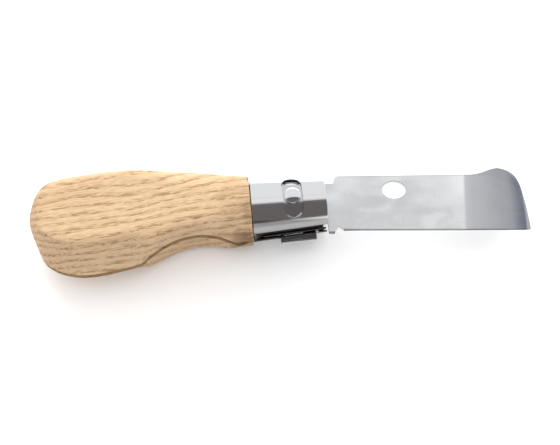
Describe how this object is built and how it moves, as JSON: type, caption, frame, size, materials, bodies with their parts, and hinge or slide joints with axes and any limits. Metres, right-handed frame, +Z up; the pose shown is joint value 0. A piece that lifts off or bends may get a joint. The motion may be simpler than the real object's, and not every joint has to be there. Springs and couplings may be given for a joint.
{
  "type": "folding hoof knife",
  "caption": "Folding hoof knife: wide scraping blade with a hooked end, wooden handle with a finger groove, and a turning collar ring that locks the blade.",
  "frame": {"origin": "middle of the footprint, at the height of the surface the knife lies on, with the blade open and the ring unlocked", "axes": "+X along the collar's axis from the handle's butt towards the blade's end, +Y towards the handle's back and the blade's spine, +Z up through the cheeks"},
  "size_m": [0.1828, 0.0374, 0.0238],
  "materials": {
    "ash_wood": "bare sanded ash, satin",
    "collar_steel": "bright drawn steel",
    "polished_steel": "mirror polished",
    "blade_steel": "satin ground"
  },
  "bodies": {
    "handle_body": {"handle": "ash_wood", "ferrule": "collar_steel", "pivot_rivet": "polished_steel"},
    "blade_body": {"blade": "blade_steel"},
    "ring_body": {"lock_ring": "polished_steel"}
  },
  "joints": [
    {"name": "blade_fold", "type": "hinge", "parent": "handle_body", "child": "blade_body", "pos_m": [0.00476, 0.00014, 0.0119], "axis": [0, 0, -1], "range_deg": [0, 174]},
    {"name": "ring_turn", "type": "hinge", "parent": "handle_body", "child": "ring_body", "pos_m": [0.00476, 0.00054, 0.0119], "axis": [1, 0, 0], "range_deg": [-28, 28]}
  ]
}
